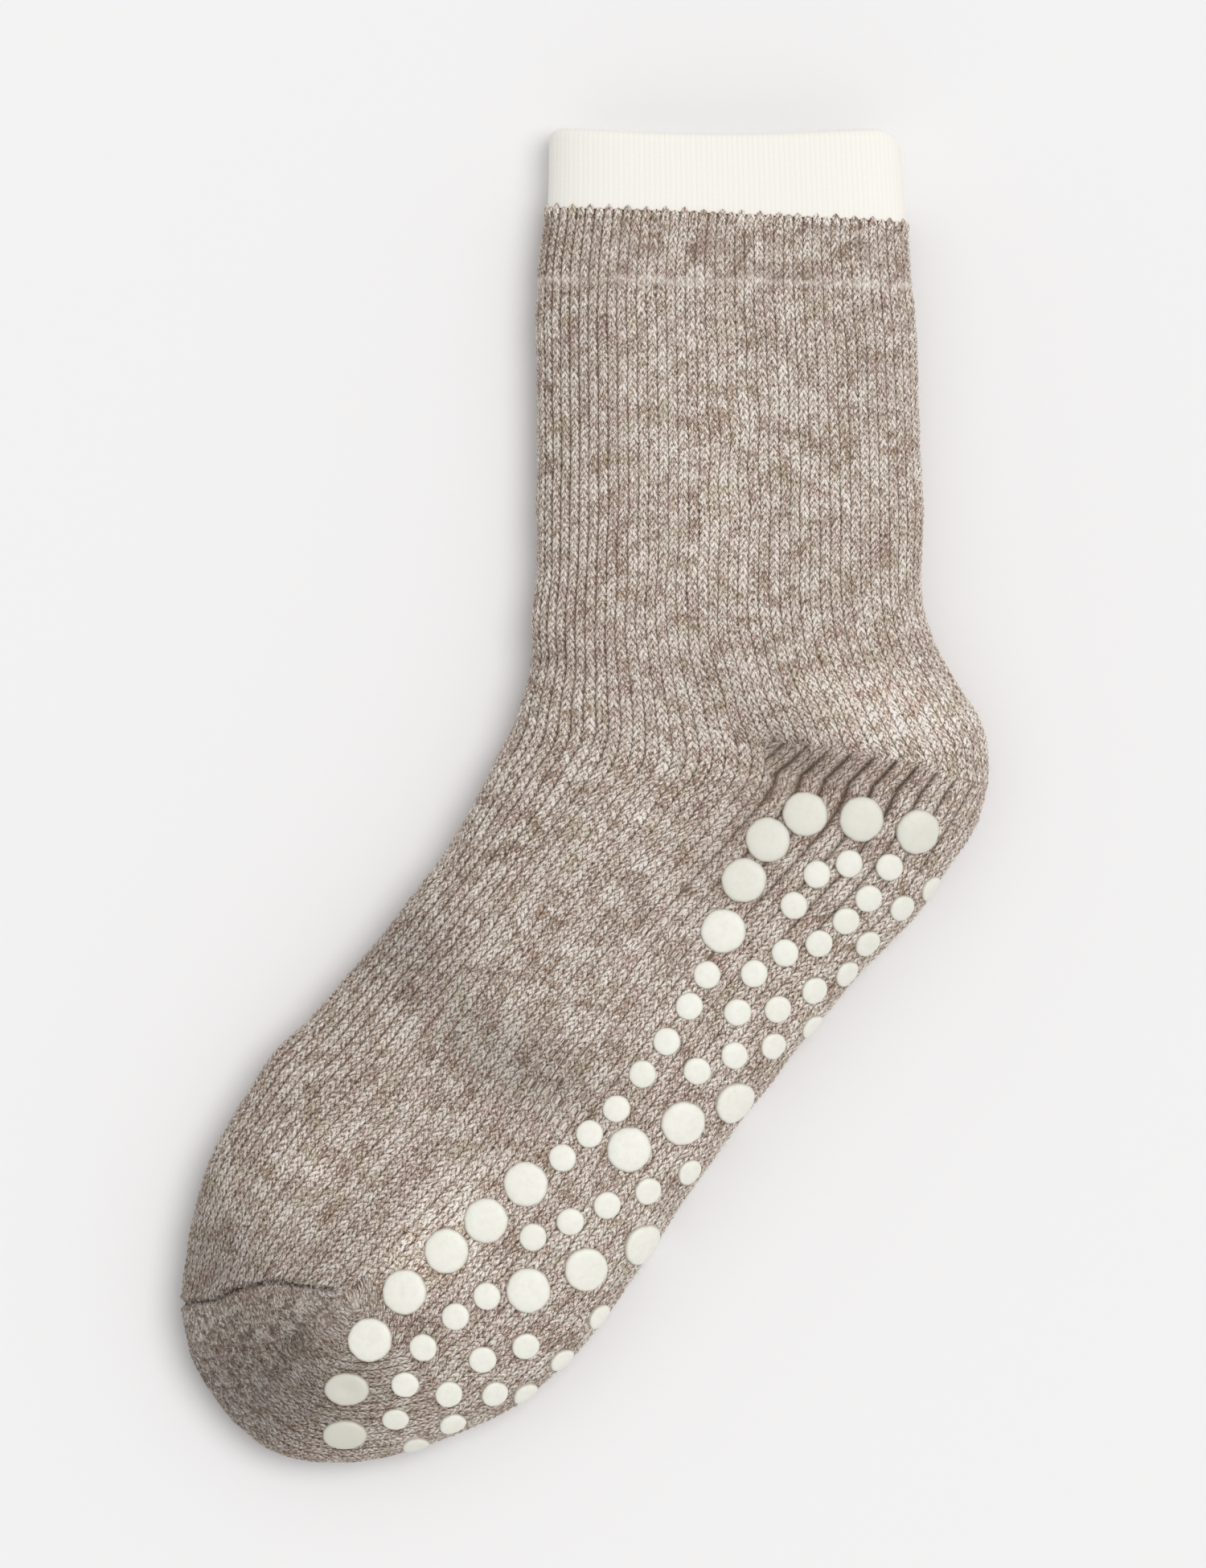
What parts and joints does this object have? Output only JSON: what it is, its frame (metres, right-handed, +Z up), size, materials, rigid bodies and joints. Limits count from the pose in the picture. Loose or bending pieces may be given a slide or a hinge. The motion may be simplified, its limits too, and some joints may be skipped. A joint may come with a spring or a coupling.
{
  "type": "slipper sock",
  "caption": "Ankle-high slipper sock of ribbed heather knit, lying slack on its side, with a turned cream cuff and raised round grip dots over its sole.",
  "frame": {"origin": "on the floor under the middle of the box of the sock, which lies on its side", "axes": "+Y up the leg towards the collar, +X across the leg towards the back of the heel, +Z up from the floor; the sole faces +X and -Y"},
  "size_m": [0.1804, 0.2988, 0.0253],
  "materials": {
    "heather_knit": "heather knit, soft and matte",
    "cream_rib": "ribbed knit, soft and matte",
    "grip_print": "satin, slightly domed print"
  },
  "bodies": {
    "root": {"grip_dot_ball_under_1": "grip_print", "grip_dot_ball_under_2": "grip_print", "grip_dot_ball_under_3": "grip_print", "grip_dot_ball_upper_1": "grip_print", "grip_dot_ball_upper_2": "grip_print", "grip_dot_ball_upper_3": "grip_print", "grip_dot_border_under_1": "grip_print", "grip_dot_border_under_2": "grip_print", "grip_dot_border_under_3": "grip_print", "grip_dot_border_under_4": "grip_print", "grip_dot_border_under_5": "grip_print", "grip_dot_border_under_6": "grip_print", "grip_dot_border_under_7": "grip_print", "grip_dot_border_upper_1": "grip_print", "grip_dot_border_upper_2": "grip_print", "grip_dot_border_upper_3": "grip_print", "grip_dot_border_upper_4": "grip_print", "grip_dot_border_upper_5": "grip_print", "grip_dot_border_upper_6": "grip_print", "grip_dot_border_upper_7": "grip_print", "grip_dot_heel_under_1": "grip_print", "grip_dot_heel_under_2": "grip_print", "grip_dot_heel_under_3": "grip_print", "grip_dot_heel_under_4": "grip_print", "grip_dot_heel_under_5": "grip_print", "grip_dot_heel_under_6": "grip_print", "grip_dot_heel_upper_1": "grip_print", "grip_dot_heel_upper_2": "grip_print", "grip_dot_heel_upper_3": "grip_print", "grip_dot_heel_upper_4": "grip_print", "grip_dot_heel_upper_5": "grip_print", "grip_dot_heel_upper_6": "grip_print", "grip_dot_toe_under_1": "grip_print", "grip_dot_toe_under_2": "grip_print", "grip_dot_toe_under_3": "grip_print", "grip_dot_toe_upper_1": "grip_print", "grip_dot_toe_upper_2": "grip_print", "grip_dot_toe_upper_3": "grip_print", "knitted_sock": "heather_knit", "turned_cuff": "cream_rib"}
  },
  "joints": []
}
